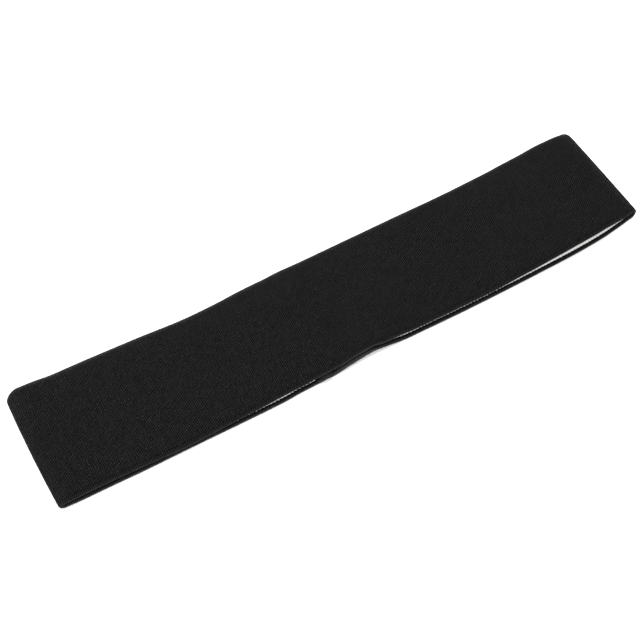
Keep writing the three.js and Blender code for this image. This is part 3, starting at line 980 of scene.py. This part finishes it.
def black_knit(colours):
    """Near-black fine knit: a slanting twill of staggered stitches, and ribs at the rims, with
    painted highlight on rims and folds and painted shade in the stitch pits and edge gaps.
    """
    nodes = Nodes("black_knit")
    knit, stitch, course = knit_coordinates(nodes, BLACK_WANDER)
    rib, pit, painted_light = nodes.relief()
    weave = nodes.math("SUBTRACT", nodes.weave(stitch, course, BLACK_WAVES), MID_TONE)
    open_end = nodes.open_end()
    crisp = nodes.added(1.0, (open_end, OPEN_CRISPNESS))
    weave = nodes.added(nodes.added(MID_TONE, (open_end, OPEN_TONE)), (weave, crisp))
    even_stitch, even_course, _ = nodes.parts(knit)
    ribs = nodes.wave(even_stitch, even_course, 1.0, -RIB_SLANT)
    height = nodes.added(weave, (nodes.math("SUBTRACT", ribs, weave), rib))
    tone = nodes.added(
        height,
        (nodes.cell_tone(stitch, course), STITCH_TONE),
        (nodes.noise(knit, PATCH_SCALE, FIBRE_DETAIL), PATCH_TONE),
        # Painted highlight and shade from the mesh's third channel.
        (painted_light, PAINTED_LIGHT_TONE),
        # Painted shade in the stitch pits between the ribs.
        (nodes.math("MULTIPLY", pit, nodes.math("SUBTRACT", 1.0, ribs)), PIT_SHADE_TONE),
    )
    stops = [(place / TONE_RANGE, share) for place, share in BLACK_TONES]
    nodes.dye(nodes.math("MULTIPLY", tone, 1 / TONE_RANGE), colours.black_yarn, stops)
    fibre = nodes.noise(knit, FIBRE_SCALE, FIBRE_DETAIL)
    nodes.bump(nodes.added(height, (fibre, BLACK_FIBRE)), BLACK_BUMP)
    nodes.set(Roughness=0.95, Specular_IOR_Level=0.01, Sheen_Weight=0.03, Sheen_Roughness=0.25)
    return nodes.material


WHITE_WANDER = 0.3
WHITE_WAVES = ((1.0, 0.5, 0.7), (0.5, -1.0, 0.3))
WHITE_FIBRE = 0.3
WHITE_BUMP = 0.00018
WHITE_TONES = ((0.0, 0.6), (0.45, 1.0), (1.0, 1.1))


def white_knit(colours):
    """Pale knit with slanting ribs."""
    nodes = Nodes("white_knit")
    knit, stitch, course = knit_coordinates(nodes, WHITE_WANDER)
    height = nodes.weave(stitch, course, WHITE_WAVES)
    nodes.dye(height, colours.white_yarn, WHITE_TONES)
    fibre = nodes.noise(knit, FIBRE_SCALE, FIBRE_DETAIL)
    nodes.bump(nodes.added(height, (fibre, WHITE_FIBRE)), WHITE_BUMP)
    nodes.set(Roughness=0.9, Specular_IOR_Level=0.2, Sheen_Weight=0.1, Sheen_Roughness=0.4)
    return nodes.material


TWIST_SCALE = 5200.0
TWIST_DETAIL = 2.0
THREAD_BUMP = 0.00008
THREAD_TONES = ((0.3, 0.5), (0.7, 1.8))


def black_thread(name, yarn):
    """Twisted black thread."""
    nodes = Nodes(name)
    place = nodes.add("ShaderNodeTexCoord").outputs["Object"]
    twist = nodes.noise(place, TWIST_SCALE, TWIST_DETAIL)
    nodes.dye(twist, yarn, THREAD_TONES)
    nodes.bump(twist, THREAD_BUMP)
    nodes.set(Roughness=0.85, Specular_IOR_Level=0.05, Sheen_Weight=0.02, Sheen_Roughness=0.3)
    return nodes.material


class SWEATBAND_OT_outer_shell(bpy.types.Operator):
    """Make the outer knit, turned over at both long edges"""

    bl_idname = "sweatband.outer_shell"
    bl_label = "Outer Knit"

    def execute(self, context):
        loop = Loop(context.scene)
        material = black_knit(context.scene.sweatband_colours)
        piece = finish_piece(make_shell(loop), "outer_knit", material)
        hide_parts("outer_shell")
        return {"FINISHED"}


class SWEATBAND_OT_lining(bpy.types.Operator):
    """Make the pale lining between the two rims"""

    bl_idname = "sweatband.lining"
    bl_label = "Lining"

    def execute(self, context):
        loop = Loop(context.scene)
        material = white_knit(context.scene.sweatband_colours)
        piece = finish_piece(make_lining(loop), "inner_lining", material)
        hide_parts("lining")
        return {"FINISHED"}


class SWEATBAND_OT_back_seam(bpy.types.Operator):
    """Make the overlocked back seam and its threads"""

    bl_idname = "sweatband.back_seam"
    bl_label = "Back Seam"

    def execute(self, context):
        loop = Loop(context.scene)
        material = black_thread("overlock_thread", context.scene.sweatband_colours.overlock)
        allowance = finish_piece(make_seam(loop), "seam_allowance", material)
        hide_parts("back_seam")
        finish_piece(make_seam_threads(loop), "seam_threads", material)
        return {"FINISHED"}


class SWEATBAND_OT_edge_stitches(bpy.types.Operator):
    """Make the stitches that hold the lining under both turned edges"""

    bl_idname = "sweatband.edge_stitches"
    bl_label = "Edge Stitches"

    def execute(self, context):
        loop = Loop(context.scene)
        material = black_thread("edge_thread", context.scene.sweatband_colours.thread)
        for row in edge_rows(loop):
            for far, side_name in enumerate(("near", "far")):
                mesh = make_edge_row(loop, row, side_name, far)
                finish_piece(mesh, mesh.name, material)
        return {"FINISHED"}


CAMERA_PLACE = (-0.101539, -0.157724, 0.29852)
CAMERA_TILT = math.radians(31.2)
CAMERA_TURN = math.radians(-30.06)
CAMERA_LENS_MM = 50.625
SENSOR_MM = 36.0
CLIP_START = 0.01
FLOOR_SIZE = 3.0
FLOOR_CELLS = 4
FLOOR_DROP = 0.00005
WORLD_COLOUR = (1, 1, 1, 1)
WORLD_STRENGTH = 0.9
LIGHT_AIM = (0, 0, 0)
# The soft lights: name, place, size in metres and power in watts.
LIGHTS = (
    ("overhead", (0.0, 0.25, 1.1), 0.9, 17),
    ("front", (-0.5, -0.9, 0.7), 0.7, 10),
)


def make_camera(scene):
    """Camera at the band's usual view."""
    data = bpy.data.cameras.new("view")
    data.lens = CAMERA_LENS_MM
    data.sensor_width = SENSOR_MM
    data.clip_start = CLIP_START
    camera = bpy.data.objects.new("view", data)
    camera.location = CAMERA_PLACE
    camera.rotation_euler = (CAMERA_TILT, 0, CAMERA_TURN)
    scene.collection.objects.link(camera)
    scene.camera = camera


def make_floor(scene):
    """Plain pale floor."""
    bm = bmesh.new()
    bmesh.ops.create_grid(bm, x_segments=FLOOR_CELLS, y_segments=FLOOR_CELLS, size=FLOOR_SIZE / 2)
    bmesh.ops.translate(bm, verts=bm.verts, vec=(0, 0, -FLOOR_DROP))
    mesh = mesh_from(bm, "floor")
    nodes = Nodes("floor")
    nodes.set(Roughness=0.9, Specular_IOR_Level=0.1)
    nodes.put((*scene.sweatband_colours.floor, 1.0), nodes.shader.inputs["Base Color"])
    mesh.materials.append(nodes.material)
    floor = bpy.data.objects.new("floor", mesh)
    scene.collection.objects.link(floor)


def make_light(scene, name, place, size, power):
    """Soft square light aimed at the band."""
    data = bpy.data.lights.new(name, "AREA")
    data.shape = "SQUARE"
    data.size = size
    data.energy = power
    light = bpy.data.objects.new(name, data)
    light.location = place
    direction = Vector(LIGHT_AIM) - Vector(place)
    light.rotation_euler = direction.to_track_quat("-Z", "Y").to_euler()
    scene.collection.objects.link(light)


def make_world(scene):
    """Even white light from all round."""
    world = bpy.data.worlds.new("studio")
    world.use_nodes = True
    background = world.node_tree.nodes["Background"].inputs
    background["Color"].default_value = WORLD_COLOUR
    background["Strength"].default_value = WORLD_STRENGTH
    scene.world = world


class SWEATBAND_OT_stage(bpy.types.Operator):
    """Make the floor, the soft lights and the camera"""

    bl_idname = "sweatband.stage"
    bl_label = "Stage"

    def execute(self, context):
        scene = context.scene
        make_camera(scene)
        make_floor(scene)
        make_world(scene)
        for light in LIGHTS:
            make_light(scene, *light)
        scene.view_settings.view_transform = "Standard"
        return {"FINISHED"}


class SWEATBAND_PT_panel(bpy.types.Panel):
    """Sidebar panel for making the band"""

    bl_label = "Sweatband"
    bl_idname = "SWEATBAND_PT_panel"
    bl_space_type = "VIEW_3D"
    bl_region_type = "UI"
    bl_category = "Sweatband"

    def draw(self, context):
        for operator in OPERATORS:
            self.layout.operator(operator.bl_idname)


GROUPS = {
    "sweatband_sizes": SweatbandSizes,
    "sweatband_seam": SweatbandSeam,
    "sweatband_stitches": SweatbandStitches,
    "sweatband_colours": SweatbandColours,
}
OPERATORS = (
    SWEATBAND_OT_stage,
    SWEATBAND_OT_outer_shell,
    SWEATBAND_OT_lining,
    SWEATBAND_OT_back_seam,
    SWEATBAND_OT_edge_stitches,
)


def register():
    """Registers the add-on's classes and gives the scene its properties."""
    for group in GROUPS.values():
        bpy.utils.register_class(group)
    for name, group in GROUPS.items():
        setattr(bpy.types.Scene, name, PointerProperty(type=group))
    for operator in OPERATORS:
        bpy.utils.register_class(operator)
    bpy.utils.register_class(SWEATBAND_PT_panel)


def unregister():
    """Takes back what register did."""
    bpy.utils.unregister_class(SWEATBAND_PT_panel)
    for operator in reversed(OPERATORS):
        bpy.utils.unregister_class(operator)
    for name in GROUPS:
        delattr(bpy.types.Scene, name)
    for group in reversed(GROUPS.values()):
        bpy.utils.unregister_class(group)


def main():
    """Makes the stage and every piece."""
    register()
    bpy.ops.sweatband.stage()
    bpy.ops.sweatband.outer_shell()
    bpy.ops.sweatband.lining()
    bpy.ops.sweatband.back_seam()
    bpy.ops.sweatband.edge_stitches()


if __name__ == "__main__":
    main()
